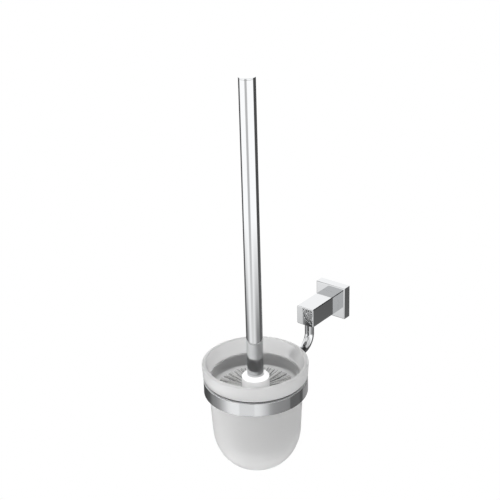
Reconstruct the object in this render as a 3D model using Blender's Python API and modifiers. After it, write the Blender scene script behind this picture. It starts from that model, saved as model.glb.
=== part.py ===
"""Wall-mounted toilet brush holder: square bracket, bent rod, ring, glass cup and brush.

Metres, +Z up. The wall is the plane y = 0 and the holder stands out towards -Y.
The origin is on the wall, at the centre of the square wall plate.
"""
import math

import bmesh
import bpy
from mathutils import Matrix, Vector

GAP = 0.0003                    # clearance between neighbouring pieces

# wall plate and its bracket
PLATE_SIDE = 0.035
PLATE_DEPTH = 0.010
PLATE_WALL = 0.002
PLATE_FRONT = 0.003
PLATE_EDGE = 0.0009
BRACKET_SIDE = 0.028
BRACKET_BASE = 0.0028
BOSS_WIDTH = 0.010
BOSS_FRONT = -0.0064
WALL_HOLE_RADIUS = 0.0022
WALL_HOLE_X = 0.0095
GRUB_RADIUS = 0.0020
GRUB_LENGTH = 0.0048
GRUB_Y = -0.0045

# square post
POST_SIDE = 0.020
POST_FRONT_Y = -0.0553
POST_EDGE = 0.0006
POST_SCREW_RADIUS = 0.0025
POST_SCREW_LENGTH = 0.018
POST_SCREW_HEAD_RADIUS = 0.0046
SET_SCREW_LENGTH = 0.008

# bent rod from the post down to the ring
ROD_RADIUS = 0.00475
ROD_Y = -0.0474
ROD_TOP_Z = 0.0037
ROD_END_Z = -0.0356
ROD_BEND_RADIUS = 0.0144
ROD_BEND_STEPS = 12

# ring and liner, on the cup's axis
RING_Y = -0.1384
RING_RADIUS = 0.0507
RING_WALL = 0.0025
RING_TOP_Z = -0.0299
RING_HEIGHT = 0.0135
RING_EDGE = 0.0003
RING_SCREW_RADIUS = 0.0020
RING_SCREW_HEAD_RADIUS = 0.0037
RING_SCREW_LENGTH = 0.012
LINER_WALL = 0.00065
LINER_RISE = 0.0003

# glass cup
RIM_RADIUS = 0.0516
RIM_TOP_Z = -0.0127
RIM_WALL = 0.0043
LIP_RADIUS = 0.0013
SHOULDER_RADIUS = 0.0510
SHOULDER_TOP_Z = -0.0243
SHOULDER_DROP = 0.0050
NECK_RADIUS = 0.0465
BODY_WALL = 0.0036
BODY_LOW_RADIUS = 0.04365
BODY_LOW_Z = -0.0825
CUP_BOTTOM_Z = -0.1252
CUP_BOTTOM_WALL = 0.0050
CUP_FOOT_RADIUS = 0.012

# handle
TUBE_RADIUS = 0.008
TUBE_WALL = 0.0008
TUBE_BOTTOM_Z = -0.0280
HANDLE_TOP_Z = 0.2698
CAP_THICKNESS = 0.0014
CAP_SPIGOT = 0.008
INSERT_TOP_Z = -0.008
INSERT_ROOF = 0.003
STUD_RADIUS = 0.0048

# brush head
HUB_RADIUS = 0.0134
HUB_TOP_RADIUS = 0.0106
HUB_TOP_Z = -0.0259
HUB_BEVEL_Z = -0.0285
HUB_BOTTOM_Z = -0.0400
HUB_SEAT_Z = -0.0294
STUD_TOP_Z = -0.0130
CORE_RADIUS = 0.011
CORE_BOTTOM_Z = -0.104
WASHER_THICKNESS = 0.0008
ROW_COUNT = 6
ROW_PITCH = 0.010
BRISTLE_RADIUS = 0.039
BRISTLE_CLEARANCE = 0.0014

ROUND_STEPS = 48                # facets round the cup and ring
FINE_STEPS = 32                 # facets round the handle and hub
SCREW_STEPS = 20                # facets round a screw

CHROME = ((0.62, 0.63, 0.64), 0.06, 1.0)
STEEL = ((0.48, 0.48, 0.47), 0.30, 1.0)
ZINC = ((0.42, 0.42, 0.43), 0.45, 1.0)
BRASS = ((0.60, 0.46, 0.20), 0.30, 1.0)
RUBBER = ((0.05, 0.05, 0.055), 0.60, 0.0)
FROSTED_GLASS = ((0.80, 0.83, 0.83), 0.45, 0.0)
WHITE_PLASTIC = ((0.86, 0.86, 0.85), 0.35, 0.0)
BRISTLE = ((0.78, 0.78, 0.77), 0.55, 0.0)


def clear_scene():
    for old in list(bpy.data.objects):
        bpy.data.objects.remove(old, do_unlink=True)


def make_collection(name):
    collection = bpy.data.collections.new(name)
    bpy.context.scene.collection.children.link(collection)
    return collection


def make_material(name, finish):
    colour, roughness, metallic = finish
    material = bpy.data.materials.new(name)
    material.use_nodes = True
    shader = material.node_tree.nodes["Principled BSDF"]
    shader.inputs["Base Color"].default_value = (*colour, 1.0)
    shader.inputs["Roughness"].default_value = roughness
    shader.inputs["Metallic"].default_value = metallic
    return material


def add_part(name, mesh, finish, parent=None):
    """Put a finished mesh in the holder's collection as one named piece."""
    piece = bpy.data.objects.new(name, mesh)
    parts.objects.link(piece)
    mesh.materials.append(make_material(name, finish))
    piece.parent = parent
    return piece


def add_cutter(name, mesh):
    cutter = bpy.data.objects.new(name, mesh)
    cutters.objects.link(cutter)
    cutter.hide_render = True
    cutter.display_type = "WIRE"
    return cutter


def make_empty(name, location):
    empty = bpy.data.objects.new(name, None)
    parts.objects.link(empty)
    empty.location = location
    return empty


def boolean(piece, tool, operation="DIFFERENCE"):
    step = piece.modifiers.new(tool.name, "BOOLEAN")
    step.object = tool
    step.operation = operation
    step.solver = "EXACT"


def block_mesh(name, low, high, edge=0.0, bevelled=None):
    """A box between two corners; the edges that `bevelled` accepts get a chamfer."""
    bm = bmesh.new()
    bmesh.ops.create_cube(bm, size=1.0)
    low, high = Vector(low), Vector(high)
    bmesh.ops.scale(bm, vec=high - low, verts=bm.verts)
    bmesh.ops.translate(bm, vec=(low + high) / 2, verts=bm.verts)
    if edge > 0:
        chosen = [e for e in bm.edges if bevelled(e)]
        bmesh.ops.bevel(
            bm, geom=chosen, offset=edge, segments=1, profile=0.5, affect="EDGES", material=-1
        )
    mesh = bpy.data.meshes.new(name)
    bm.to_mesh(mesh)
    bm.free()
    return mesh


def round_mesh(name, radius, start, end, steps=SCREW_STEPS, end_radius=None):
    """A cylinder or cone from one point to another."""
    start, end = Vector(start), Vector(end)
    run = end - start
    bm = bmesh.new()
    bmesh.ops.create_cone(
        bm, cap_ends=True, segments=steps, radius1=radius,
        radius2=radius if end_radius is None else end_radius, depth=run.length,
    )
    turn = run.to_track_quat("Z", "Y").to_matrix().to_4x4()
    bmesh.ops.transform(bm, matrix=Matrix.Translation((start + end) / 2) @ turn, verts=bm.verts)
    mesh = bpy.data.meshes.new(name)
    bm.to_mesh(mesh)
    bm.free()
    return mesh


def turn_profile(piece, steps):
    """Screw the piece's profile a full turn about its own Z axis."""
    screw = piece.modifiers.new("turn", "SCREW")
    screw.steps = steps
    screw.render_steps = steps
    screw.use_merge_vertices = True
    screw.merge_threshold = 0.00001
    screw.use_smooth_shade = True


def turned_part(name, profile, finish, steps, parent, closed):
    """A turned piece: profile points (radius, z), down the outer side and back up the inner."""
    mesh = bpy.data.meshes.new(name)
    bm = bmesh.new()
    verts = [bm.verts.new((radius, 0.0, z)) for radius, z in profile]
    for a, b in zip(verts, verts[1:]):
        bm.edges.new((a, b))
    if closed:
        bm.edges.new((verts[-1], verts[0]))
    bm.to_mesh(mesh)
    bm.free()
    piece = add_part(name, mesh, finish, parent)
    turn_profile(piece, steps)
    return piece


def arc(centre, radius, start, end, steps):
    """Points of a circular arc in the (radius, z) plane, angles in degrees from +R."""
    points = []
    for step in range(steps + 1):
        angle = math.radians(start + (end - start) * step / steps)
        points.append((centre[0] + radius * math.cos(angle), centre[1] + radius * math.sin(angle)))
    return points


def quarter_curve(outer, low, foot_radius, steps):
    """An elliptical quarter from a side point down and in to a level foot."""
    points = []
    for step in range(steps + 1):
        angle = math.pi / 2 * step / steps
        points.append((
            foot_radius + (outer[0] - foot_radius) * math.cos(angle),
            outer[1] - (outer[1] - low) * math.sin(angle),
        ))
    return points


def cup_inner_radius(z):
    """Radius of the cup's inside at a height below its neck."""
    low_radius = BODY_LOW_RADIUS - BODY_WALL
    if z >= BODY_LOW_Z:
        neck_z = SHOULDER_TOP_Z - SHOULDER_DROP
        part = (neck_z - z) / (neck_z - BODY_LOW_Z)
        return NECK_RADIUS - BODY_WALL + (BODY_LOW_RADIUS - NECK_RADIUS) * part
    depth = (BODY_LOW_Z - z) / (BODY_LOW_Z - CUP_BOTTOM_Z - CUP_BOTTOM_WALL)
    return CUP_FOOT_RADIUS + (low_radius - CUP_FOOT_RADIUS) * math.sqrt(max(0.0, 1 - depth ** 2))


def socket_cut(piece, name, across, mouth, floor):
    """A hexagon socket cut into a screw's end."""
    cutter = add_cutter(name, round_mesh(name, across / 2, mouth, floor, steps=6))
    boolean(piece, cutter)


def wall_bracket():
    """Cast bracket screwed to the wall inside the plate, with a boss for the grub screw."""
    half = BRACKET_SIDE / 2
    piece = add_part(
        "wall_bracket",
        block_mesh("wall_bracket", (-half, -BRACKET_BASE, -half), (half, 0.0, half)),
        ZINC,
    )
    boss = add_cutter(
        "bracket_boss",
        block_mesh(
            "bracket_boss",
            (-BOSS_WIDTH / 2, BOSS_FRONT, -half), (BOSS_WIDTH / 2, -BRACKET_BASE / 2, half),
        ),
    )
    boolean(piece, boss, "UNION")
    for side in (-1, 1):
        name = f"wall_hole_{side}"
        x = side * WALL_HOLE_X
        hole = round_mesh(name, WALL_HOLE_RADIUS, (x, 0.001, 0.0), (x, -0.004, 0.0))
        boolean(piece, add_cutter(name, hole))
    seat = round_mesh(
        "grub_seat", GRUB_RADIUS + GAP, (0.0, GRUB_Y, -half - 0.001), (0.0, GRUB_Y, -half + 0.0022)
    )
    boolean(piece, add_cutter("grub_seat", seat))
    return piece


def wall_plate():
    """Square cover: a hollow block open towards the wall."""
    half = PLATE_SIDE / 2
    inner = half - PLATE_WALL
    front = -PLATE_DEPTH

    def on_front(edge):
        return all(abs(v.co.y - front) < 1e-6 for v in edge.verts)

    mesh = block_mesh("wall_plate", (-half, front, -half), (half, 0.0, half), PLATE_EDGE, on_front)
    piece = add_part("wall_plate", mesh, CHROME)
    floor = front + PLATE_FRONT
    hollow = block_mesh("plate_hollow", (-inner, floor, -inner), (inner, 0.001, inner))
    boolean(piece, add_cutter("plate_hollow", hollow))
    seat = round_mesh(
        "post_screw_seat", POST_SCREW_HEAD_RADIUS + GAP * 2, (0.0, floor + 0.0004, 0.0),
        (0.0, front - 0.0004, 0.0), SCREW_STEPS, POST_SCREW_RADIUS + GAP,
    )
    boolean(piece, add_cutter("post_screw_seat", seat))
    grub_hole = round_mesh(
        "grub_hole", GRUB_RADIUS + GAP, (0.0, GRUB_Y, -half - 0.001), (0.0, GRUB_Y, -inner + 0.001)
    )
    boolean(piece, add_cutter("grub_hole", grub_hole))
    return piece


def grub_screw():
    """Locks the plate on the bracket from below."""
    low = -PLATE_SIDE / 2 + GAP
    piece = add_part(
        "grub_screw",
        round_mesh("grub_screw", GRUB_RADIUS, (0.0, GRUB_Y, low), (0.0, GRUB_Y, low + GRUB_LENGTH)),
        STEEL,
    )
    socket_cut(piece, "grub_socket", 0.0022, (0.0, GRUB_Y, low - 0.001), (0.0, GRUB_Y, low + 0.0016))
    return piece


def post():
    """Square arm, bored from the back for its screws and from below for the rod."""
    half = POST_SIDE / 2
    back = -PLATE_DEPTH - GAP

    def not_at_back(edge):
        return any(abs(v.co.y - back) > 1e-6 for v in edge.verts)

    mesh = block_mesh("post", (-half, POST_FRONT_Y, -half), (half, back, half), POST_EDGE, not_at_back)
    piece = add_part("post", mesh, CHROME)
    bore = round_mesh(
        "post_bore", POST_SCREW_RADIUS + GAP, (0.0, back + 0.001, 0.0), (0.0, ROD_Y, 0.0)
    )
    boolean(piece, add_cutter("post_bore", bore))
    rod_hole = round_mesh(
        "rod_hole", ROD_RADIUS + GAP, (0.0, ROD_Y, -half - 0.001), (0.0, ROD_Y, ROD_TOP_Z + GAP), 28
    )
    boolean(piece, add_cutter("rod_hole", rod_hole))
    return piece


def post_screw():
    """Countersunk screw through the plate into the post."""
    head_y = -PLATE_DEPTH + PLATE_FRONT - GAP
    neck_y = head_y - (POST_SCREW_HEAD_RADIUS - POST_SCREW_RADIUS)
    mesh = round_mesh(
        "post_screw", POST_SCREW_HEAD_RADIUS, (0.0, head_y, 0.0), (0.0, neck_y, 0.0),
        SCREW_STEPS, POST_SCREW_RADIUS,
    )
    piece = add_part("post_screw", mesh, STEEL)
    shank = round_mesh(
        "post_screw_shank", POST_SCREW_RADIUS - 0.00002, (0.0, neck_y + 0.0005, 0.0),
        (0.0, head_y - POST_SCREW_LENGTH, 0.0),
    )
    boolean(piece, add_cutter("post_screw_shank", shank), "UNION")
    socket_cut(piece, "post_socket", 0.0034, (0.0, head_y + 0.001, 0.0), (0.0, head_y - 0.0015, 0.0))
    return piece


def rod_set_screw():
    """Grub screw in the post's bore, which clamps the rod."""
    tip = ROD_Y + ROD_RADIUS + GAP
    tail = tip + SET_SCREW_LENGTH
    mesh = round_mesh("rod_set_screw", POST_SCREW_RADIUS, (0.0, tail, 0.0), (0.0, tip, 0.0))
    piece = add_part("rod_set_screw", mesh, STEEL)
    socket_cut(piece, "set_socket", 0.0028, (0.0, tail + 0.001, 0.0), (0.0, tail - 0.002, 0.0))
    return piece


def rod_path():
    """Down from the post, round one bend, and level to the back of the ring."""
    bend_top = ROD_END_Z + ROD_BEND_RADIUS
    points = [(0.0, ROD_Y, ROD_TOP_Z)]
    for step in range(ROD_BEND_STEPS + 1):
        angle = math.pi / 2 * step / ROD_BEND_STEPS
        points.append((
            0.0,
            ROD_Y - ROD_BEND_RADIUS * (1 - math.cos(angle)),
            bend_top - ROD_BEND_RADIUS * math.sin(angle),
        ))
    points.append((0.0, RING_Y + RING_RADIUS + GAP, ROD_END_Z))
    return points


def bent_rod():
    """Round rod with a tapped front end."""
    curve = bpy.data.curves.new("rod_line", "CURVE")
    curve.dimensions = "3D"
    curve.bevel_depth = ROD_RADIUS
    curve.bevel_resolution = 8
    curve.use_fill_caps = True
    points = rod_path()
    spline = curve.splines.new("POLY")
    spline.points.add(len(points) - 1)
    for point, place in zip(spline.points, points):
        point.co = (*place, 1.0)
    line = bpy.data.objects.new("rod_line", curve)
    parts.objects.link(line)
    depsgraph = bpy.context.evaluated_depsgraph_get()
    mesh = bpy.data.meshes.new_from_object(line.evaluated_get(depsgraph))
    bm = bmesh.new()
    bm.from_mesh(mesh)
    bmesh.ops.remove_doubles(bm, verts=bm.verts, dist=0.000001)
    bmesh.ops.recalc_face_normals(bm, faces=bm.faces)
    bm.to_mesh(mesh)
    bm.free()
    mesh.name = "bent_rod"
    mesh.materials.clear()
    piece = add_part("bent_rod", mesh, CHROME)
    piece.matrix_world = line.matrix_world
    bpy.data.objects.remove(line, do_unlink=True)
    end = points[-1][1]
    tapped = round_mesh(
        "rod_tapping", RING_SCREW_RADIUS + GAP, (0.0, end - 0.001, ROD_END_Z),
        (0.0, end + RING_SCREW_LENGTH, ROD_END_Z),
    )
    boolean(piece, add_cutter("rod_tapping", tapped))
    return piece


def ring_band():
    """Flat chrome band with a countersunk hole at the back."""
    bottom = RING_TOP_Z - RING_HEIGHT
    inner = RING_RADIUS - RING_WALL
    e = RING_EDGE
    profile = [
        (inner + e, RING_TOP_Z), (RING_RADIUS - e, RING_TOP_Z), (RING_RADIUS, RING_TOP_Z - e),
        (RING_RADIUS, bottom + e), (RING_RADIUS - e, bottom), (inner + e, bottom),
        (inner, bottom + e), (inner, RING_TOP_Z - e),
    ]
    piece = turned_part("ring_band", profile, CHROME, ROUND_STEPS, ring_axis, closed=True)
    head_y = RING_Y + inner
    wide = RING_SCREW_HEAD_RADIUS + 2 * GAP
    narrow = RING_SCREW_RADIUS + GAP
    slope = round_mesh(
        "ring_countersink", wide + 0.001, (0.0, head_y - 0.001, ROD_END_Z),
        (0.0, head_y + wide - narrow, ROD_END_Z), SCREW_STEPS, narrow,
    )
    boolean(piece, add_cutter("ring_countersink", slope))
    hole = round_mesh(
        "ring_hole", narrow - 0.00001, (0.0, head_y, ROD_END_Z),
        (0.0, RING_Y + RING_RADIUS + 0.001, ROD_END_Z),
    )
    boolean(piece, add_cutter("ring_hole", hole))
    return piece


def ring_screw():
    """Countersunk screw from inside the ring into the end of the rod."""
    head_y = RING_Y + RING_RADIUS - RING_WALL + 0.0001
    neck_y = head_y + RING_SCREW_HEAD_RADIUS - RING_SCREW_RADIUS
    mesh = round_mesh(
        "ring_screw", RING_SCREW_HEAD_RADIUS, (0.0, head_y, ROD_END_Z), (0.0, neck_y, ROD_END_Z),
        SCREW_STEPS, RING_SCREW_RADIUS,
    )
    piece = add_part("ring_screw", mesh, STEEL)
    shank = round_mesh(
        "ring_screw_shank", RING_SCREW_RADIUS - 0.00002, (0.0, neck_y - 0.0005, ROD_END_Z),
        (0.0, head_y + RING_SCREW_LENGTH, ROD_END_Z),
    )
    boolean(piece, add_cutter("ring_screw_shank", shank), "UNION")
    socket_cut(
        piece, "ring_socket", 0.0028, (0.0, head_y - 0.001, ROD_END_Z),
        (0.0, head_y + 0.0011, ROD_END_Z),
    )
    return piece


def ring_liner():
    """Thin elastomer sleeve that keeps the glass off the metal."""
    outer = RING_RADIUS - RING_WALL - GAP
    inner = outer - LINER_WALL
    top = RING_TOP_Z + LINER_RISE
    bottom = RING_TOP_Z - RING_HEIGHT + 0.0006
    profile = [(inner, top), (outer, top), (outer, bottom), (inner, bottom)]
    return turned_part("ring_liner", profile, RUBBER, ROUND_STEPS, ring_axis, closed=True)


def glass_cup():
    """Thick glass: wide rim, a shoulder that hangs on the ring, narrower body, round bottom."""
    lip_z = RIM_TOP_Z - LIP_RADIUS
    neck_z = SHOULDER_TOP_Z - SHOULDER_DROP
    inside = RIM_RADIUS - RIM_WALL
    outer = arc((RIM_RADIUS - LIP_RADIUS, lip_z), LIP_RADIUS, 90, 0, 3)
    outer += quarter_curve((SHOULDER_RADIUS, SHOULDER_TOP_Z), neck_z, NECK_RADIUS + 0.0003, 5)
    outer += [(NECK_RADIUS, neck_z - 0.0006)]
    outer += quarter_curve((BODY_LOW_RADIUS, BODY_LOW_Z), CUP_BOTTOM_Z, CUP_FOOT_RADIUS, 9)
    outer += [(0.0, CUP_BOTTOM_Z)]
    inner_neck = neck_z + 0.001
    inner = arc((inside + LIP_RADIUS, lip_z), LIP_RADIUS, 90, 180, 3)
    inner += quarter_curve(
        (inside - 0.0006, SHOULDER_TOP_Z + 0.0025), inner_neck, NECK_RADIUS - BODY_WALL + 0.0003, 4
    )
    inner += [(NECK_RADIUS - BODY_WALL, inner_neck - 0.0008)]
    inner += quarter_curve(
        (BODY_LOW_RADIUS - BODY_WALL, BODY_LOW_Z), CUP_BOTTOM_Z + CUP_BOTTOM_WALL, CUP_FOOT_RADIUS, 8
    )
    inner += [(0.0, CUP_BOTTOM_Z + CUP_BOTTOM_WALL)]
    profile = inner[::-1] + outer
    return turned_part("glass_cup", profile, FROSTED_GLASS, ROUND_STEPS, cup_axis, closed=False)


def brush_body():
    """White moulding: stud, seat for the handle, bevelled hub and the core for the bristles."""
    profile = [
        (0.0, STUD_TOP_Z), (STUD_RADIUS - 0.0006, STUD_TOP_Z), (STUD_RADIUS, STUD_TOP_Z - 0.0006),
        (STUD_RADIUS, HUB_SEAT_Z), (TUBE_RADIUS + GAP, HUB_SEAT_Z), (TUBE_RADIUS + GAP, HUB_TOP_Z),
        (HUB_TOP_RADIUS, HUB_TOP_Z), (HUB_RADIUS, HUB_BEVEL_Z), (HUB_RADIUS, HUB_BOTTOM_Z),
        (CORE_RADIUS, HUB_BOTTOM_Z), (CORE_RADIUS, CORE_BOTTOM_Z + 0.003),
        (CORE_RADIUS - 0.003, CORE_BOTTOM_Z), (0.0, CORE_BOTTOM_Z),
    ]
    return turned_part("brush_body", profile, WHITE_PLASTIC, FINE_STEPS, brush_axis, closed=False)


def bristle_limit(z):
    return min(BRISTLE_RADIUS, cup_inner_radius(z) - BRISTLE_CLEARANCE)


def bristle_row(index):
    """The space that one row of tufts fills round the core."""
    top = HUB_BOTTOM_Z - GAP - ROW_PITCH * index
    bottom = top - ROW_PITCH + GAP
    middle = (top + bottom) / 2
    root = CORE_RADIUS + GAP
    profile = [
        (root, top), (bristle_limit(top), top), (bristle_limit(middle), middle),
        (bristle_limit(bottom), bottom), (root, bottom),
    ]
    name = f"bristle_row_{index + 1}"
    return turned_part(name, profile, BRISTLE, FINE_STEPS, brush_axis, closed=True)


def end_tuft():
    """The bristles under the core, on the cup's bottom."""
    top = HUB_BOTTOM_Z - GAP - ROW_PITCH * ROW_COUNT
    bottom = CUP_BOTTOM_Z + CUP_BOTTOM_WALL + GAP
    root = CORE_RADIUS + GAP
    core_end = CORE_BOTTOM_Z - GAP
    profile = [(0.0, core_end), (root, core_end), (root, top)]
    for step in range(6):
        z = top + (bottom + 0.001 - top) * step / 5
        profile.append((bristle_limit(z), z))
    profile += [(CUP_FOOT_RADIUS - 0.001, bottom), (0.0, bottom)]
    return turned_part("end_tuft", profile, BRISTLE, FINE_STEPS, brush_axis, closed=False)


def seat_washer():
    """Flat seal between the handle's end and the hub."""
    bottom = HUB_SEAT_Z + GAP
    top = bottom + WASHER_THICKNESS
    inner, outer = STUD_RADIUS + GAP, TUBE_RADIUS - 0.0002
    profile = [(inner, top), (outer, top), (outer, bottom), (inner, bottom)]
    return turned_part("seat_washer", profile, RUBBER, FINE_STEPS, handle_axis, closed=True)


def handle_tube():
    top = HANDLE_TOP_Z - CAP_THICKNESS - GAP
    inner = TUBE_RADIUS - TUBE_WALL
    profile = [
        (inner, top), (TUBE_RADIUS, top), (TUBE_RADIUS, TUBE_BOTTOM_Z), (inner, TUBE_BOTTOM_Z),
    ]
    return turned_part("handle_tube", profile, CHROME, FINE_STEPS, handle_axis, closed=True)


def handle_cap():
    """Flat end disc on a spigot that plugs the tube."""
    spigot = TUBE_RADIUS - TUBE_WALL - GAP
    under = HANDLE_TOP_Z - CAP_THICKNESS
    profile = [
        (0.0, HANDLE_TOP_Z), (TUBE_RADIUS - 0.0003, HANDLE_TOP_Z),
        (TUBE_RADIUS, HANDLE_TOP_Z - 0.0003), (TUBE_RADIUS, under), (spigot, under),
        (spigot, under - CAP_SPIGOT), (0.0, under - CAP_SPIGOT),
    ]
    return turned_part("handle_cap", profile, CHROME, FINE_STEPS, handle_axis, closed=False)


def handle_insert():
    """Threaded plug in the tube's lower end, which takes the brush's stud."""
    outer = TUBE_RADIUS - TUBE_WALL - GAP
    bore = STUD_RADIUS + GAP
    bottom = TUBE_BOTTOM_Z + 0.0004
    profile = [
        (0.0, INSERT_TOP_Z), (outer, INSERT_TOP_Z), (outer, bottom), (bore, bottom),
        (bore, INSERT_TOP_Z - INSERT_ROOF), (0.0, INSERT_TOP_Z - INSERT_ROOF),
    ]
    return turned_part("handle_insert", profile, BRASS, FINE_STEPS, handle_axis, closed=False)


clear_scene()
parts = make_collection("toilet_brush_holder")
cutters = make_collection("cutters")
ring_axis = make_empty("ring_axis", (0.0, RING_Y, 0.0))
cup_axis = make_empty("cup_axis", (0.0, RING_Y, 0.0))
brush_axis = make_empty("brush_axis", (0.0, RING_Y, 0.0))
handle_axis = make_empty("handle_axis", (0.0, RING_Y, 0.0))

wall_bracket()
wall_plate()
grub_screw()
post()
post_screw()
rod_set_screw()
bent_rod()
ring_band()
ring_screw()
ring_liner()
glass_cup()
brush_body()
for row in range(ROW_COUNT):
    bristle_row(row)
end_tuft()
seat_washer()
handle_tube()
handle_cap()
handle_insert()
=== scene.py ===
import math
import random

import bmesh
import bpy
from mathutils import Matrix, Vector


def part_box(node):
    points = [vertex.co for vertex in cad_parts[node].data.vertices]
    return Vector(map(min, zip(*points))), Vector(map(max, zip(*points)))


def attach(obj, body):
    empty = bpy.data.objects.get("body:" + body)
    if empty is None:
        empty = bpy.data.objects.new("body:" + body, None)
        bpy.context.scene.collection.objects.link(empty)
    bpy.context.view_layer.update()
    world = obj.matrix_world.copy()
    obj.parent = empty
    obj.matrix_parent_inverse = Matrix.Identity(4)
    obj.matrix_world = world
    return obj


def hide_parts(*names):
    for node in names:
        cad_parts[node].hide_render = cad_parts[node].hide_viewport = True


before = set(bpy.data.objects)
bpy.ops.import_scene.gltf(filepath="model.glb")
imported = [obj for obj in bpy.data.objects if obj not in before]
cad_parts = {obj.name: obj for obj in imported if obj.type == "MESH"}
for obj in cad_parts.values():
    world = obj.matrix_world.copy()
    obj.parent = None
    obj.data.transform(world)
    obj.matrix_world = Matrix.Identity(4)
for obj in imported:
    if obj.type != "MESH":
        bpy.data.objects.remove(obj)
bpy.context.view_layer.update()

mm = 0.001
weldDistance = 0.002 * mm
flatTolerance = 0.01 * mm
cutterPast = 1 * mm          # how far a cutter runs past a face
random.seed(11)

plateLow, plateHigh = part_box("wall_plate")
postLow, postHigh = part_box("post")
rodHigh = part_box("bent_rod")[1]
ringLow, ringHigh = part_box("ring_band")
linerLow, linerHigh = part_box("ring_liner")
cupLow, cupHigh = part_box("glass_cup")
brushLow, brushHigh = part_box("brush_body")
tubeLow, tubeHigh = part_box("handle_tube")
capLow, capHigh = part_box("handle_cap")
cupAxis = Vector((0.0, (ringLow.y + ringHigh.y) / 2, 0.0))    # the upright axis of ring, cup and brush


def toLinear(hexColour):
    channels = [int(hexColour[i:i + 2], 16) / 255 for i in (1, 3, 5)]
    return tuple(c / 12.92 if c <= 0.04045 else ((c + 0.055) / 1.055) ** 2.4 for c in channels) + (1.0,)


def addNode(tree, kind, settings=None, values=None, links=None):
    node = tree.nodes.new(kind)
    for name, value in (settings or {}).items():
        setattr(node, name, value)
    for socket, value in (values or {}).items():
        node.inputs[socket].default_value = value
    for socket, source in (links or {}).items():
        tree.links.new(source, node.inputs[socket])
    return node


def fillRamp(node, stops):
    ramp = node.color_ramp
    while len(ramp.elements) > 1:
        ramp.elements.remove(ramp.elements[-1])
    ramp.elements[0].position = stops[0][0]
    ramp.elements[0].color = stops[0][1]
    for place, colour in stops[1:]:
        ramp.elements.new(place).color = colour


def newMaterial(name, baseColour, roughness, metallic=0.0):
    material = bpy.data.materials.new(name)
    material.use_nodes = True
    shader = material.node_tree.nodes["Principled BSDF"]
    shader.inputs["Base Color"].default_value = toLinear(baseColour)
    shader.inputs["Roughness"].default_value = roughness
    shader.inputs["Metallic"].default_value = metallic
    return material, material.node_tree, shader


def softenEdges(bm, width, segments=2, sharpAngle=30):
    sharp = [e for e in bm.edges if len(e.link_faces) == 2
             and e.calc_face_angle(0) > math.radians(sharpAngle)]
    bmesh.ops.bevel(bm, geom=sharp, affect="EDGES", offset=width, segments=segments,
                    profile=0.5, material=-1, clamp_overlap=True)


def finishPiece(bm, name, material, body, replaced=(), smoothAngle=35):
    mesh = bpy.data.meshes.new(name)
    bm.to_mesh(mesh)
    bm.free()
    mesh.shade_smooth()
    mesh.set_sharp_from_angle(angle=math.radians(smoothAngle))
    piece = bpy.data.objects.new(name, mesh)
    bpy.context.scene.collection.objects.link(piece)
    mesh.materials.append(material)
    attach(piece, body)
    if replaced:
        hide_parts(*replaced)
    even = piece.modifiers.new("even shading", "WEIGHTED_NORMAL")    # keeps the large faces' shading flat
    even.weight = 100
    even.keep_sharp = True
    return piece


# takes the cutter's shape out of bm and gives the result; both are closed
def cutAway(bm, cutter):
    objects = []
    for part in (bm, cutter):
        mesh = bpy.data.meshes.new("cutting")
        part.to_mesh(mesh)
        part.free()
        objects.append(bpy.data.objects.new("cutting", mesh))
        bpy.context.scene.collection.objects.link(objects[-1])
    step = objects[0].modifiers.new("cut", "BOOLEAN")
    step.object = objects[1]
    step.operation = "DIFFERENCE"
    step.solver = "EXACT"
    result = bmesh.new()
    result.from_object(objects[0], bpy.context.evaluated_depsgraph_get())
    for leftover in objects:
        bpy.data.objects.remove(leftover)
    bmesh.ops.remove_doubles(result, verts=result.verts, dist=weldDistance)
    bmesh.ops.dissolve_degenerate(result, edges=result.edges, dist=weldDistance)    # slivers of the cut
    return result


# extrudes a face and moves the new one on; the old one stays only as the far end of a bar
def pushFace(bm, face, move, keepOld=False):
    made = bmesh.ops.extrude_face_region(bm, geom=[face])["geom"]
    if not keepOld:
        bmesh.ops.delete(bm, geom=[face], context="FACES_ONLY")
    bmesh.ops.translate(bm, vec=move, verts=[v for v in made if isinstance(v, bmesh.types.BMVert)])
    return next(f for f in made if isinstance(f, bmesh.types.BMFace))


def roundBar(start, end, radius, endRadius=None, sides=40):
    start, end = Vector(start), Vector(end)
    bm = bmesh.new()
    turn = (end - start).to_track_quat("Z", "Y").to_matrix().to_4x4()
    bmesh.ops.create_cone(bm, cap_ends=True, segments=sides, radius1=radius,
                          radius2=radius if endRadius is None else endRadius, depth=(end - start).length,
                          matrix=Matrix.Translation((start + end) / 2) @ turn)
    return bm


# turns an outline of (radius, height) about the upright axis of cup and brush
def turnProfile(outline, steps, closed):
    bm = bmesh.new()
    points = [bm.verts.new((cupAxis.x + radius, cupAxis.y, height)) for radius, height in outline]
    for a, b in zip(points, points[1:]):
        bm.edges.new((a, b))
    if closed:
        bm.edges.new((points[-1], points[0]))
    bmesh.ops.spin(bm, geom=bm.verts[:] + bm.edges[:], cent=cupAxis, axis=(0, 0, 1), angle=2 * math.pi,
                   steps=steps, use_merge=True, use_duplicate=False)
    bmesh.ops.remove_doubles(bm, verts=bm.verts, dist=weldDistance)
    bmesh.ops.recalc_face_normals(bm, faces=bm.faces)
    return bm


# points (radius, height) of an elliptical arc, angles in degrees from the outward direction
def arcPoints(centre, width, rise, startAngle, endAngle, steps):
    points = []
    for step in range(steps + 1):
        angle = math.radians(startAngle + (endAngle - startAngle) * step / steps)
        points.append((centre[0] + width * math.cos(angle), centre[1] + rise * math.sin(angle)))
    return points


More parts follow.
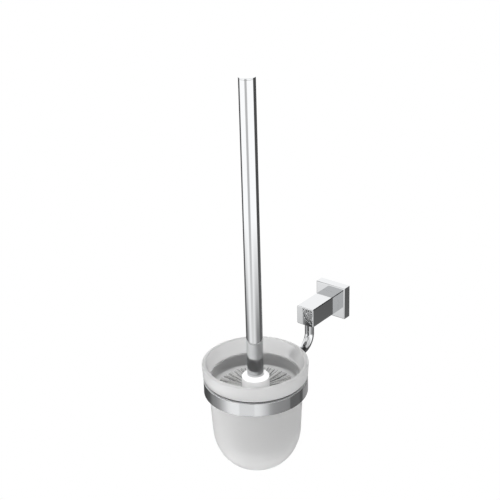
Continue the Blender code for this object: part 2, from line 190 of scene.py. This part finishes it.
# chromium over bright nickel, plated on polished brass: a clear, slightly dark mirror with a faint haze
def mirrorChrome():
    material, tree, shader = newMaterial("mirrorChrome", "#C1C2C3", 0.035, 1.0)
    place = addNode(tree, "ShaderNodeTexCoord").outputs["Object"]
    haze = addNode(tree, "ShaderNodeTexNoise", values={"Scale": 1 / (9 * mm), "Detail": 3.0},
                   links={"Vector": place})
    rough = addNode(tree, "ShaderNodeMapRange", values={"To Min": 0.02, "To Max": 0.06},
                    links={"Value": haze.outputs["Fac"]})
    tree.links.new(rough.outputs["Result"], shader.inputs["Roughness"])
    return material


# soda-lime glass, acid etched on both sides: milky, lets light through and blurs what stands behind it;
# the etch's pits are far finer than the 1.2 mm that they are drawn at here, so that they can show
def frostedGlass():
    material, tree, shader = newMaterial("frostedGlass", "#F5F5F5", 0.38)
    shader.inputs["IOR"].default_value = 1.5
    shader.inputs["Transmission Weight"].default_value = 0.85
    place = addNode(tree, "ShaderNodeTexCoord").outputs["Object"]
    etch = addNode(tree, "ShaderNodeTexNoise", values={"Scale": 1 / (1.2 * mm), "Detail": 4.0},
                   links={"Vector": place})
    rough = addNode(tree, "ShaderNodeMapRange", values={"To Min": 0.37, "To Max": 0.4},
                    links={"Value": etch.outputs["Fac"]})
    tree.links.new(rough.outputs["Result"], shader.inputs["Roughness"])
    return material


# polypropylene, injection moulded: white, slightly waxy, with a fine mould texture, drawn at 0.6 mm
# because its real grain of about 0.1 mm is too fine to show
def mouldedPlastic():
    material, tree, shader = newMaterial("mouldedPlastic", "#F4F4F4", 0.38)
    shader.inputs["IOR"].default_value = 1.49
    place = addNode(tree, "ShaderNodeTexCoord").outputs["Object"]
    grain = addNode(tree, "ShaderNodeTexNoise", values={"Scale": 1 / (0.6 * mm), "Detail": 2.0},
                    links={"Vector": place})
    bump = addNode(tree, "ShaderNodeBump", values={"Strength": 0.08, "Distance": 0.05 * mm},
                   links={"Height": grain.outputs["Fac"]})
    tree.links.new(bump.outputs["Normal"], shader.inputs["Normal"])
    return material


# nylon, drawn into bristles: whitish with a soft gloss; a per-bristle attribute holds a random own tone,
# and painted shade, darkest, on the bristles at a tuft's sides, standing in for the shadow between tufts
def nylonBristle():
    material, tree, shader = newMaterial("nylonBristle", "#CACAC9", 0.42)
    shader.inputs["IOR"].default_value = 1.53
    place = addNode(tree, "ShaderNodeTexCoord").outputs["Object"]
    cloud = addNode(tree, "ShaderNodeTexNoise", values={"Scale": 1 / (3 * mm), "Detail": 2.0},
                    links={"Vector": place})
    toneAndShadeInput = addNode(tree, "ShaderNodeAttribute", {"attribute_name": "toneAndPaintedShade"})
    both = addNode(tree, "ShaderNodeMath", {"operation": "MULTIPLY_ADD"}, {1: 0.3},
                   {0: cloud.outputs["Fac"], 2: toneAndShadeInput.outputs["Fac"]})
    ramp = addNode(tree, "ShaderNodeValToRGB", links={"Fac": both.outputs["Value"]})
    # the ramp's dark end is the painted shade of the tufts' side bristles; the rest is the nylon's own tone
    fillRamp(ramp, [(0.15, toLinear("#4E4E4E")), (0.6, toLinear("#C2C2C1")), (1.0, toLinear("#E0E0DF"))])
    tree.links.new(ramp.outputs["Color"], shader.inputs["Base Color"])
    return material


# screw steel, cold formed and zinc plated: satin grey, uneven in its gloss
def platedSteel():
    material, tree, shader = newMaterial("platedSteel", "#B9BAB8", 0.3, 1.0)
    place = addNode(tree, "ShaderNodeTexCoord").outputs["Object"]
    spots = addNode(tree, "ShaderNodeTexNoise", values={"Scale": 1 / (0.4 * mm), "Detail": 3.0},
                    links={"Vector": place})
    rough = addNode(tree, "ShaderNodeMapRange", values={"To Min": 0.22, "To Max": 0.4},
                    links={"Value": spots.outputs["Fac"]})
    tree.links.new(rough.outputs["Result"], shader.inputs["Roughness"])
    return material


# zinc alloy, pressure die-cast and left raw: dull grey with a cloudy, slightly grainy skin
def castZinc():
    material, tree, shader = newMaterial("castZinc", "#A9AAAA", 0.48, 1.0)
    place = addNode(tree, "ShaderNodeTexCoord").outputs["Object"]
    cloud = addNode(tree, "ShaderNodeTexNoise", values={"Scale": 1 / (4 * mm), "Detail": 5.0},
                    links={"Vector": place})
    ramp = addNode(tree, "ShaderNodeValToRGB", links={"Fac": cloud.outputs["Fac"]})
    fillRamp(ramp, [(0.3, toLinear("#8F9090")), (0.7, toLinear("#B7B8B8"))])
    bump = addNode(tree, "ShaderNodeBump", values={"Strength": 0.3, "Distance": 0.08 * mm},
                   links={"Height": cloud.outputs["Fac"]})
    tree.links.new(ramp.outputs["Color"], shader.inputs["Base Color"])
    tree.links.new(bump.outputs["Normal"], shader.inputs["Normal"])
    return material


# silicone rubber, moulded: near black, matte, with a faint bloom
def softRubber():
    material, tree, shader = newMaterial("softRubber", "#3A3B3C", 0.62)
    place = addNode(tree, "ShaderNodeTexCoord").outputs["Object"]
    bloom = addNode(tree, "ShaderNodeTexNoise", values={"Scale": 1 / (2 * mm), "Detail": 3.0},
                    links={"Vector": place})
    ramp = addNode(tree, "ShaderNodeValToRGB", links={"Fac": bloom.outputs["Fac"]})
    fillRamp(ramp, [(0.35, toLinear("#343536")), (0.7, toLinear("#454647"))])
    tree.links.new(ramp.outputs["Color"], shader.inputs["Base Color"])
    return material


# bar brass, turned on a lathe: yellow, satin, with fine rings round its axis; a real turning mark is
# some 0.1 mm wide and is drawn wider here, so that it can show
def turnedBrass():
    material, tree, shader = newMaterial("turnedBrass", "#CBB06A", 0.28, 1.0)
    place = addNode(tree, "ShaderNodeTexCoord").outputs["Object"]
    ringWidth = 0.8 * mm
    rings = addNode(tree, "ShaderNodeTexWave", {"bands_direction": "Z"},
                    values={"Scale": math.pi / (10 * ringWidth), "Distortion": 0.2},
                    links={"Vector": place})
    bump = addNode(tree, "ShaderNodeBump", values={"Strength": 0.2, "Distance": 0.02 * mm},
                   links={"Height": rings.outputs["Fac"]})
    tree.links.new(bump.outputs["Normal"], shader.inputs["Normal"])
    return material


chrome = mirrorChrome()
glass = frostedGlass()
plastic = mouldedPlastic()
nylon = nylonBristle()
steel = platedSteel()
zinc = castZinc()
rubber = softRubber()
brass = turnedBrass()
print("materials made")


plate = {
    "chamfer": 0.9 * mm,         # flat bevel round the front face
    "wall": 2.0 * mm,
    "front": 3.0 * mm,           # thickness of the front
    "edge": 0.10 * mm,           # polish rounding on every edge
    "grubHole": 2.2 * mm,        # radius of the grub screw's hole, in the lower wall
    "grubY": -4.5 * mm,
    "screwShank": 3.2 * mm,      # countersunk seat of the screw into the arm, two radii
    "screwHead": 4.8 * mm,
    "past": 0.4 * mm,            # how far the cutters run past the plate's faces
}


def makePlate():
    bm = bmesh.new()
    size = plateHigh - plateLow
    middle = (plateLow + plateHigh) / 2
    bmesh.ops.create_cube(bm, size=1.0, matrix=Matrix.Translation(middle) @ Matrix.Diagonal((*size, 1)))
    frontEdges = [e for e in bm.edges if all(v.co.y < plateLow.y + flatTolerance for v in e.verts)]
    bmesh.ops.bevel(bm, geom=frontEdges, affect="EDGES", offset=plate["chamfer"], segments=1,
                    profile=0.5, material=-1)
    back = next(f for f in bm.faces if f.normal.y > 0.9)
    bmesh.ops.inset_region(bm, faces=[back], thickness=plate["wall"], depth=0)
    pushFace(bm, back, (0, plate["front"] - size.y, 0))
    bmesh.ops.recalc_face_normals(bm, faces=bm.faces)
    softenEdges(bm, plate["edge"])
    grubLow = (0, plate["grubY"], plateLow.z - plate["past"])
    grubHigh = (0, plate["grubY"], plateLow.z + plate["wall"] + plate["past"])
    bm = cutAway(bm, roundBar(grubLow, grubHigh, plate["grubHole"]))
    seatBack = (0, plateLow.y + plate["front"] + plate["past"], 0)
    seatFront = (0, plateLow.y - plate["past"], 0)
    bm = cutAway(bm, roundBar(seatBack, seatFront, plate["screwHead"] + plate["past"],
                              plate["screwShank"] - plate["past"]))
    return finishPiece(bm, "plate_cover", chrome, "holder", ["wall_plate"])


arm = {
    "chamfer": 0.7 * mm,         # flat bevel on the long edges and round the front
    "edge": 0.07 * mm,
    "contact": 0.02 * mm,        # what is left between the arm and the plate
    "rodY": -47.4 * mm,
    "rodHole": 4.82 * mm,
    "rodHoleAbove": 0.3 * mm,
    "screwHole": 2.8 * mm,
}


def makeArm():
    bm = bmesh.new()
    low, high = postLow.copy(), postHigh.copy()
    high.y = plateLow.y - arm["contact"]
    bmesh.ops.create_cube(bm, size=1.0,
                          matrix=Matrix.Translation((low + high) / 2) @ Matrix.Diagonal((*(high - low), 1)))
    bevelled = [e for e in bm.edges if not all(v.co.y > high.y - flatTolerance for v in e.verts)]
    bmesh.ops.bevel(bm, geom=bevelled, affect="EDGES", offset=arm["chamfer"], segments=1,
                    profile=0.5, material=-1)
    softenEdges(bm, arm["edge"])
    bm = cutAway(bm, roundBar((0, high.y + cutterPast, 0), (0, arm["rodY"], 0), arm["screwHole"]))
    holeTop = (0, arm["rodY"], rodHigh.z + arm["rodHoleAbove"])
    bm = cutAway(bm, roundBar((0, arm["rodY"], low.z - cutterPast), holeTop, arm["rodHole"], sides=64))
    return finishPiece(bm, "square_arm", chrome, "holder", ["post"])


makePlate()
makeArm()
print("plate and arm made")


rod = {
    "radius": 4.75 * mm,
    "bendRadius": 14.4 * mm,     # of the middle line
    "bendSteps": 28,
    "sides": 48,
    "endZ": -35.6 * mm,          # height of the level stretch
    "tapping": 2.3 * mm,         # radius of the hole in the end, for the ring's screw
    "tappingDepth": 12 * mm,
    "contact": 0.02 * mm,
}


def makeRod():
    bm = bmesh.new()
    bendTop = rod["endZ"] + rod["bendRadius"]
    bmesh.ops.create_circle(bm, cap_ends=True, segments=rod["sides"], radius=rod["radius"],
                            matrix=Matrix.Translation((0, arm["rodY"], rodHigh.z)))
    face = pushFace(bm, bm.faces[:][0], (0, 0, bendTop - rodHigh.z), keepOld=True)
    turned = bmesh.ops.spin(bm, geom=[face], cent=(0, arm["rodY"] - rod["bendRadius"], bendTop),
                            axis=(1, 0, 0), angle=math.radians(-90), steps=rod["bendSteps"],
                            use_merge=False)
    bmesh.ops.delete(bm, geom=[face], context="FACES_ONLY")
    face = next(f for f in turned["geom_last"] if isinstance(f, bmesh.types.BMFace))
    endY = cupAxis.y + ringOuter + rod["contact"]
    pushFace(bm, face, (0, endY - face.calc_center_median().y, 0))
    bmesh.ops.recalc_face_normals(bm, faces=bm.faces)
    tappedFrom = (0, endY - cutterPast, rod["endZ"])
    tappedTo = (0, endY + rod["tappingDepth"], rod["endZ"])
    bm = cutAway(bm, roundBar(tappedFrom, tappedTo, rod["tapping"]))
    return finishPiece(bm, "rod_bend", chrome, "holder", ["bent_rod"], smoothAngle=40)


ring = {
    "wall": 2.5 * mm,
    "edge": 0.3 * mm,
    "steps": 192,
    "screwHead": 4.3 * mm,       # countersunk seat inside the ring, two radii
    "screwShank": 2.3 * mm,
    "seatDepth": 2 * mm,
    "holeDepth": 4 * mm,         # more than the wall, so that it goes right through
    "linerWall": 0.8 * mm,
    "linerGap": 0.05 * mm,
    "linerEdge": 0.1 * mm,
}
ringOuter = (ringHigh.x - ringLow.x) / 2
ringInner = ringOuter - ring["wall"]


def makeRing():
    top, bottom = ringHigh.z, ringLow.z
    bm = turnProfile([(ringInner, top), (ringOuter, top), (ringOuter, bottom), (ringInner, bottom)],
                     ring["steps"], True)
    softenEdges(bm, ring["edge"], 3, 60)
    innerY, screwZ = cupAxis.y + ringInner, rod["endZ"]
    bm = cutAway(bm, roundBar((0, innerY - cutterPast, screwZ), (0, innerY + ring["seatDepth"], screwZ),
                              ring["screwHead"] + cutterPast, ring["screwShank"]))
    bm = cutAway(bm, roundBar((0, innerY, screwZ), (0, innerY + ring["holeDepth"], screwZ),
                              ring["screwShank"]))
    return finishPiece(bm, "ring_hoop", chrome, "holder", ["ring_band"])


def makeLiner():
    outer = ringInner - ring["linerGap"]
    inner = outer - ring["linerWall"]
    outline = [(inner, linerHigh.z), (outer, linerHigh.z), (outer, linerLow.z), (inner, linerLow.z)]
    bm = turnProfile(outline, ring["steps"], True)
    softenEdges(bm, ring["linerEdge"])
    return finishPiece(bm, "liner_sleeve", rubber, "holder", ["ring_liner"])


makeRod()
makeRing()
makeLiner()
print("rod, ring and liner made")


cup = {
    "rimWall": 4.3 * mm,
    "lip": 1.3 * mm,             # rounding of the lip
    "shoulderInset": 0.6 * mm,   # how much narrower the band is at the shoulder than at the lip
    "shoulderTop": -24.3 * mm,
    "shoulderDrop": 5.0 * mm,
    "neck": 46.5 * mm,           # radius just below the ring's top
    "wall": 3.6 * mm,
    "insideInset": 3.0 * mm,     # the same narrowing on the inside, a plain cone
    "ledge": 1.2 * mm,           # height of the rounding from that cone to the neck
    "ledgeAbove": 1.0 * mm,      # how far the inside's neck begins above the outside's
    "neckStep": 0.3 * mm,        # what is left between the shoulder's curve and the neck
    "lowRadius": 43.65 * mm,
    "lowZ": -82.5 * mm,
    "foot": 12 * mm,             # radius of the flat in the middle of the bottom
    "bottomWall": 5.0 * mm,
    "steps": 160,
}
cupNeckZ = cup["shoulderTop"] - cup["shoulderDrop"]
cupFloor = cupLow.z + cup["bottomWall"]


# a quarter of an ellipse, from an outer point (radius, height) down and in to a lower one
def quarter(start, endRadius, endZ, steps):
    return arcPoints((endRadius, start[1]), start[0] - endRadius, endZ - start[1], 0, 90, steps)


def makeCup():
    rim = (cupHigh.x - cupLow.x) / 2
    lip, wall, neck = cup["lip"], cup["wall"], cup["neck"]
    lipZ = cupHigh.z - lip
    ledgeZ = cupNeckZ + cup["ledgeAbove"]
    neckStep = cup["neckStep"]
    outer = arcPoints((rim - lip, lipZ), lip, lip, 90, 0, 6)
    outer += quarter((rim - cup["shoulderInset"], cup["shoulderTop"]), neck + neckStep, cupNeckZ, 12)
    outer += [(neck, cupNeckZ - 2 * neckStep)]
    outer += quarter((cup["lowRadius"], cup["lowZ"]), cup["foot"], cupLow.z, 28)
    outer += [(0.0, cupLow.z)]
    inner = arcPoints((rim - cup["rimWall"] + lip, lipZ), lip, lip, 90, 180, 6)
    inner += quarter((rim - cup["rimWall"] - cup["insideInset"], ledgeZ + cup["ledge"]),
                     neck - wall + neckStep, ledgeZ, 8)
    inner += [(neck - wall, cupNeckZ + neckStep)]
    inner += quarter((cup["lowRadius"] - wall, cup["lowZ"]), cup["foot"], cupFloor, 24)
    inner += [(0.0, cupFloor)]
    bm = turnProfile(inner[::-1] + outer, cup["steps"], False)
    return finishPiece(bm, "cup_glass", glass, "cup", ["glass_cup"], smoothAngle=60)


# inner radius of the cup at a height below its neck
def cupInside(height):
    if height > cup["lowZ"]:
        part = (cupNeckZ - height) / (cupNeckZ - cup["lowZ"])
        return cup["neck"] - cup["wall"] + (cup["lowRadius"] - cup["neck"]) * part
    depth = (cup["lowZ"] - height) / (cup["lowZ"] - cupFloor)
    curve = cup["lowRadius"] - cup["wall"] - cup["foot"]
    return cup["foot"] + curve * math.sqrt(max(0.0, 1 - depth ** 2))


makeCup()
print("cup made")


hub = {
    "radius": 13.4 * mm,
    "topRadius": 10.6 * mm,
    "topZ": -25.9 * mm,
    "bevelZ": -28.5 * mm,
    "bottomZ": -40.0 * mm,
    "seatZ": -29.4 * mm,
    "seatRadius": 8.15 * mm,
    "stud": 4.8 * mm,
    "studChamfer": 0.6 * mm,
    "core": 11 * mm,
    "coreChamfer": 3 * mm,
    "edge": 0.2 * mm,
    "steps": 96,
}


def makeHub():
    stud, core = hub["stud"], hub["core"]
    studChamfer, coreChamfer = hub["studChamfer"], hub["coreChamfer"]
    outline = [
        (0.0, brushHigh.z), (stud - studChamfer, brushHigh.z), (stud, brushHigh.z - studChamfer),
        (stud, hub["seatZ"]), (hub["seatRadius"], hub["seatZ"]), (hub["seatRadius"], hub["topZ"]),
        (hub["topRadius"], hub["topZ"]), (hub["radius"], hub["bevelZ"]), (hub["radius"], hub["bottomZ"]),
        (core, hub["bottomZ"]), (core, brushLow.z + coreChamfer), (core - coreChamfer, brushLow.z),
        (0.0, brushLow.z),
    ]
    bm = turnProfile(outline, hub["steps"], False)
    softenEdges(bm, hub["edge"])
    return finishPiece(bm, "brush_hub", plastic, "brush_head", ["brush_body"])


tufts = {
    "rows": 6,
    "pitch": 10 * mm,            # height of a row, which holds two rings of tufts
    "firstRing": 2.7 * mm,       # below the row's top
    "ringStep": 5 * mm,
    "perRing": 32,
    "perTuft": 16,
    "holeRadius": 0.8 * mm,
    "sunk": 0.3 * mm,            # how deep the bristles' roots stand in the core
    "scatter": 0.3,              # how far a root strays round its tuft, radians
    "splay": (0.075, 0.02),      # how far the bristles of one tuft lean apart, sideways and upwards
    # from the next value out to a tuft's sides the bristles get painted shade, the second grey range below,
    # for the shadow between tufts; the middle ones get a random own tone from the first
    "paintedShadeFrom": 0.62,             # from here to a tuft's side its bristles are the greyer ones
    "lightShade": (0.55, 1.0),
    "paintedSideShade": (0.0, 0.2),
    "rise": 0.03,                # how far the highest ring of tufts leans upwards
    "turnSlack": 0.02,           # how far a tuft strays from its even place, radians
    "thick": 0.24 * mm,          # radius of one bristle
    "taper": 0.82,               # the tip's radius, where the root's is 1
    "bow": 1.6,                  # sideways swing of a bristle, in its own radii
    "reach": 39.5 * mm,
    "clearance": 1.5 * mm,       # to the glass
    "lengths": (4 * mm, 60 * mm),
    "lengthStep": 0.5 * mm,
    "trim": (0.97, 1.0),         # how evenly the tips are cut, as a part of the length
    "segments": 4,
}


# one bristle along +Z, one metre long and one in radius, three-sided, and gently bowed
def bristleMaster():
    bm = bmesh.new()
    bmesh.ops.create_cone(bm, cap_ends=True, segments=3, radius1=1.0, radius2=tufts["taper"], depth=1.0,
                          matrix=Matrix.Translation((0, 0, 0.5)))
    sides = [e for e in bm.edges if abs(e.verts[0].co.z - e.verts[1].co.z) > 0.5]
    bmesh.ops.subdivide_edges(bm, edges=sides, cuts=tufts["segments"] - 1)
    for v in bm.verts:
        v.co.x += tufts["bow"] * math.sin(math.pi * v.co.z)
    mesh = bpy.data.meshes.new("bristleMaster")
    bm.to_mesh(mesh)
    bm.free()
    # each bristle's grey: a random own tone, or painted shade on the bristles at a tuft's sides
    mesh.attributes.new("toneAndPaintedShade", "FLOAT", "POINT")
    return mesh


# how far a bristle can run before it leaves the brush's outline
def bristleLength(root, direction):
    step = tufts["lengthStep"]
    length, longest = tufts["lengths"]
    while length < longest:
        tip = root + direction * (length + step)
        if math.hypot(tip.x, tip.y) > min(tufts["reach"], cupInside(tip.z) - tufts["clearance"]):
            break
        if tip.z < cupFloor + step:
            break
        length += step
    return length


def addBristle(bm, root, direction, toneAndPaintedShade):
    length = bristleLength(root, direction) * random.uniform(*tufts["trim"])
    place = Matrix.Translation(cupAxis + root) @ direction.to_track_quat("Z", "Y").to_matrix().to_4x4()
    spin = Matrix.Rotation(random.uniform(0, 2 * math.pi), 4, "Z")
    strand = bristleTemplate.copy()
    strand.attributes["toneAndPaintedShade"].data.foreach_set("value", [toneAndPaintedShade] * len(strand.vertices))
    strand.transform(place @ Matrix.Diagonal((tufts["thick"], tufts["thick"], length, 1)) @ spin)
    bm.from_mesh(strand)
    bpy.data.meshes.remove(strand)


def tuftAt(bm, angle, height, rise):
    outward = Vector((math.cos(angle), math.sin(angle), 0))
    sideways = Vector((-math.sin(angle), math.cos(angle), 0))
    goldenAngle = math.pi * (3 - math.sqrt(5))
    for index in range(tufts["perTuft"]):
        spread = math.sqrt((index + 0.5) / tufts["perTuft"])
        around = index * goldenAngle + random.uniform(-tufts["scatter"], tufts["scatter"])
        across, upward = spread * math.cos(around), spread * math.sin(around)
        root = outward * (hub["core"] - tufts["sunk"]) + sideways * across * tufts["holeRadius"]
        root.z = height + upward * tufts["holeRadius"]
        lean = Vector((0, 0, upward * tufts["splay"][1] + rise))
        direction = outward + sideways * across * tufts["splay"][0] + lean
        # a tuft's side bristles get painted shade, a dark grey, for the shadow between tufts; the others a
        # random own tone
        shades = tufts["lightShade"] if abs(across) < tufts["paintedShadeFrom"] else tufts["paintedSideShade"]
        addBristle(bm, root, direction.normalized(), random.uniform(*shades))


def makeRow(index):
    bm = bmesh.new()
    top = hub["bottomZ"] - tufts["pitch"] * index
    for half in (0, 1):
        height = top - tufts["firstRing"] - tufts["ringStep"] * half
        rise = tufts["rise"] if index + half == 0 else 0.0
        for step in range(tufts["perRing"]):
            slack = random.uniform(-tufts["turnSlack"], tufts["turnSlack"])
            tuftAt(bm, 2 * math.pi * step / tufts["perRing"] + slack, height, rise)
    return finishPiece(bm, f"bristles_{index + 1}", nylon, "brush_head",
                       [f"bristle_row_{index + 1}"], smoothAngle=75)


endTuft = {
    # radius in mm, tufts and fall of each ring under the core
    "rings": [(10.2, 26, 0.28), (9.6, 26, 0.62), (8, 22, 1.1), (6, 16, 2.0), (4, 10, 3.6), (1.5, 5, 9.0)],
    "perTuft": 6,
    "turnSlack": 0.4,            # in tufts of the same ring
    "rootSlack": (-0.9, 0.5),    # how far a root strays inwards and outwards, in mm
    "chamferFrom": 9,            # from this radius in mm the roots stand higher, on the core's chamfer
    "chamferRoots": 2.2 * mm,    # heights of the roots above the core's end
    "flatRoots": 0.2 * mm,
    "lean": 0.1,                 # how unevenly the bristles point
}


def makeEndTuft():
    bm = bmesh.new()
    for radius, count, fall in endTuft["rings"]:
        for step in range(count):
            angle = 2 * math.pi * (step + random.random() * endTuft["turnSlack"]) / count
            outward = Vector((math.cos(angle), math.sin(angle), 0))
            onChamfer = radius > endTuft["chamferFrom"]
            for strand in range(endTuft["perTuft"]):
                root = outward * (radius + random.uniform(*endTuft["rootSlack"])) * mm
                root.z = brushLow.z + endTuft["chamferRoots" if onChamfer else "flatRoots"]
                lean = Vector([random.uniform(-endTuft["lean"], endTuft["lean"]) for axis in range(3)])
                direction = (outward + Vector((0, 0, -fall))).normalized() + lean
                addBristle(bm, root, direction.normalized(), random.random())
    return finishPiece(bm, "bristles_end", nylon, "brush_head", ["end_tuft"], smoothAngle=75)


bristleTemplate = bristleMaster()
makeHub()
for row in range(tufts["rows"]):
    makeRow(row)
makeEndTuft()
bpy.data.meshes.remove(bristleTemplate)
print("brush made")


handle = {
    "wall": 0.8 * mm,
    "edge": 0.12 * mm,
    "steps": 96,
    "cap": 1.4 * mm,             # thickness of the end's flat
    "capEdge": 0.2 * mm,
    "capJoint": 0.03 * mm,       # the fine line between the cap and the tube
    "capFit": 0.1 * mm,
}
handleOuter = (tubeHigh.x - tubeLow.x) / 2


def makeTube():
    inner = handleOuter - handle["wall"]
    top = capHigh.z - handle["cap"] - handle["capJoint"]
    outline = [(inner, top), (handleOuter, top), (handleOuter, tubeLow.z), (inner, tubeLow.z)]
    bm = turnProfile(outline, handle["steps"], True)
    softenEdges(bm, handle["edge"], 2, 60)
    return finishPiece(bm, "tube_grip", chrome, "handle", ["handle_tube"])


def makeCap():
    spigot = handleOuter - handle["wall"] - handle["capFit"]
    under = capHigh.z - handle["cap"]
    outline = [(0.0, capHigh.z), (handleOuter, capHigh.z), (handleOuter, under), (spigot, under),
               (spigot, capLow.z), (0.0, capLow.z)]
    bm = turnProfile(outline, handle["steps"], False)
    softenEdges(bm, handle["capEdge"], 3, 60)
    return finishPiece(bm, "end_cap", chrome, "handle", ["handle_cap"])


makeTube()
makeCap()
print("handle made")


keptFinishes = {    # CAD pieces whose shape stays
    "wall_bracket": zinc,
    "grub_screw": steel,
    "post_screw": steel,
    "rod_set_screw": steel,
    "ring_screw": steel,
    "seat_washer": rubber,
    "handle_insert": brass,
}
for nodeName, finish in keptFinishes.items():
    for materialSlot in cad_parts[nodeName].material_slots:
        materialSlot.material = finish
print("kept pieces finished")


studio = {
    "floorZ": -200 * mm,
    "floorSize": 200.0,
    "setTurn": 51.56,                # degrees that turn the set so that 0 is the camera's side
    "backdrop": 1.0,                 # level of the white that the camera sees
    # sines of elevation over which one part of the set turns into the next: the table into the walls,
    # the walls into the ceiling, the table into dark ground, the ceiling into its dark middle
    "lowZone": (-0.475, -0.388),
    "horizon": (-0.08, 0.0),
    "nadir": (-0.62, -0.78),
    "zenith": (0.78, 0.84),
    "nadirLevel": 0.06,
    "zenithLevel": 0.3,
    # level of light by degrees round the set, plus to the camera's right
    "walls": [(-180, 1.8), (-166, 1.8), (-162, 0.14), (-116, 0.14), (-106, 1.8), (-38, 1.8), (-32, 0.85),
              (-10, 0.85), (-2, 1.8), (78, 1.8), (83, 0.11), (152, 0.14), (160, 1.7), (180, 1.8)],
    "table": [(-180, 1.0), (-168, 0.1), (-141, 0.1), (-124, 0.17), (-112, 0.36), (-100, 0.44),
              (-90, 0.56), (-81, 0.8), (-73, 1.02), (-65, 1.3), (-57, 1.42), (-40, 1.45), (-37, 1.2),
              (-6, 1.2), (-3, 1.36), (5, 1.3), (11, 1.19), (18, 1.0), (25, 0.81), (31, 0.6), (38, 0.5),
              (50, 0.44), (68, 0.41), (78, 0.38), (81, 0.2), (108, 0.2), (115, 0.14), (122, 0.14),
              (128, 0.4), (156, 0.4), (168, 0.2), (175, 0.9)],
    "ceiling": [(-180, 1.6), (-130, 1.5), (-100, 1.5), (-97, 0.4), (-90, 0.4), (-87, 1.5), (-17, 1.45),
                (-14, 0.05), (-4, 0.05), (-1, 1.4), (60, 1.0), (82, 0.9), (88, 0.05), (150, 0.05),
                (160, 1.5), (180, 1.6)],
    # what lights the matte and milky pieces, as seen through diffusers: above, below, and through the glass
    "softUp": [(-180, 1.0), (-140, 1.3), (-90, 2.5), (0, 3.2), (60, 2.1), (120, 1.1), (150, 1.0),
               (180, 1.0)],
    "softDown": [(-180, 1.2), (-140, 1.5), (-90, 2.6), (0, 2.7), (60, 2.0), (120, 1.4), (150, 1.1),
                 (180, 1.2)],
    "through": [(-180, 0.64), (-145, 0.8), (-110, 1.25), (-70, 1.45), (-35, 1.45), (0, 1.1), (25, 0.55),
                (45, 0.3), (110, 0.25), (140, 0.35), (180, 0.64)],
    "softHorizon": (-0.25, 0.15),
    "softNadir": (-0.45, -0.85),
    "softZenith": (0.5, 0.8),
    "softNadirLevel": 2.8,
    "softZenithLevel": 1.4,
}


def grey(level):
    return (level, level, level, 1.0)


def makeWorld():
    world = bpy.data.worlds.new("studio")
    bpy.context.scene.world = world
    world.use_nodes = True
    tree = world.node_tree
    direction = addNode(tree, "ShaderNodeTexCoord").outputs["Generated"]
    turned = addNode(tree, "ShaderNodeVectorRotate", {"rotation_type": "Z_AXIS"},
                     {"Angle": math.radians(studio["setTurn"])}, {"Vector": direction})
    around = addNode(tree, "ShaderNodeTexGradient", {"gradient_type": "RADIAL"},
                     links={"Vector": turned.outputs["Vector"]}).outputs["Fac"]
    height = addNode(tree, "ShaderNodeSeparateXYZ", links={"Vector": direction}).outputs["Z"]

    def level(name):
        ramp = addNode(tree, "ShaderNodeValToRGB", links={"Fac": around})
        fillRamp(ramp, [(degrees / 360 + 0.5, grey(value)) for degrees, value in studio[name]])
        return ramp.outputs["Color"]

    def between(name, curve="SMOOTHSTEP"):
        low, high = studio[name]
        return addNode(tree, "ShaderNodeMapRange", {"interpolation_type": curve},
                       {"From Min": low, "From Max": high}, {"Value": height}).outputs["Result"]

    def mixed(factor, first, second):
        mix = addNode(tree, "ShaderNodeMix", {"data_type": "RGBA"}, links={0: factor, 6: first})
        if isinstance(second, tuple):
            mix.inputs[7].default_value = second
        else:
            tree.links.new(second, mix.inputs[7])
        return mix.outputs[2]

    sharpSet = mixed(between("lowZone", "LINEAR"), level("table"), level("walls"))
    sharpSet = mixed(between("horizon"), sharpSet, level("ceiling"))
    sharpSet = mixed(between("zenith"), sharpSet, grey(studio["zenithLevel"]))
    sharpSet = mixed(between("nadir"), sharpSet, grey(studio["nadirLevel"]))
    softSet = mixed(between("softHorizon"), level("softDown"), level("softUp"))
    softSet = mixed(between("softNadir"), softSet, grey(studio["softNadirLevel"]))
    softSet = mixed(between("softZenith"), softSet, grey(studio["softZenithLevel"]))
    rays = addNode(tree, "ShaderNodeLightPath").outputs
    light = mixed(rays["Is Glossy Ray"], softSet, sharpSet)
    light = mixed(rays["Is Transmission Ray"], light, level("through"))
    light = mixed(rays["Is Camera Ray"], light, grey(studio["backdrop"]))
    tree.links.new(light, tree.nodes["Background"].inputs["Color"])


def makeFloor():
    bm = bmesh.new()
    bmesh.ops.create_grid(bm, x_segments=1, y_segments=1, size=studio["floorSize"],
                          matrix=Matrix.Translation((0, 0, studio["floorZ"])))
    mesh = bpy.data.meshes.new("studioFloor")
    bm.to_mesh(mesh)
    bm.free()
    floor = bpy.data.objects.new("studioFloor", mesh)
    bpy.context.scene.collection.objects.link(floor)
    material = bpy.data.materials.new("paleFloor")
    material.use_nodes = True
    tree = material.node_tree
    tree.nodes.clear()
    glow = addNode(tree, "ShaderNodeEmission", values={"Color": grey(studio["backdrop"]), "Strength": 1.0})
    addNode(tree, "ShaderNodeOutputMaterial", links={"Surface": glow.outputs["Emission"]})
    mesh.materials.append(material)
    floor.visible_glossy = False         # the set lights the object from below, not the floor
    floor.visible_diffuse = False
    floor.visible_transmission = False
    floor.visible_shadow = False


view = {
    "place": (604.1 * mm, -902.4 * mm, 543.0 * mm),
    "azimuth": 38.44,            # degrees, as are the next two
    "elevation": 24.21,
    "roll": -1.713,
    "lens": 83.3,
    "sensor": 36.0,
}


def makeCamera():
    data = bpy.data.cameras.new("camera")
    data.lens = view["lens"]
    data.sensor_width = view["sensor"]
    camera = bpy.data.objects.new("camera", data)
    bpy.context.scene.collection.objects.link(camera)
    aim = (Matrix.Rotation(math.radians(view["azimuth"]), 4, "Z")
           @ Matrix.Rotation(math.radians(90 - view["elevation"]), 4, "X")
           @ Matrix.Rotation(math.radians(view["roll"]), 4, "Z"))
    camera.matrix_world = Matrix.Translation(view["place"]) @ aim
    bpy.context.scene.camera = camera


makeWorld()
makeFloor()
makeCamera()
bpy.context.scene.view_settings.view_transform = "Standard"
print("studio made")
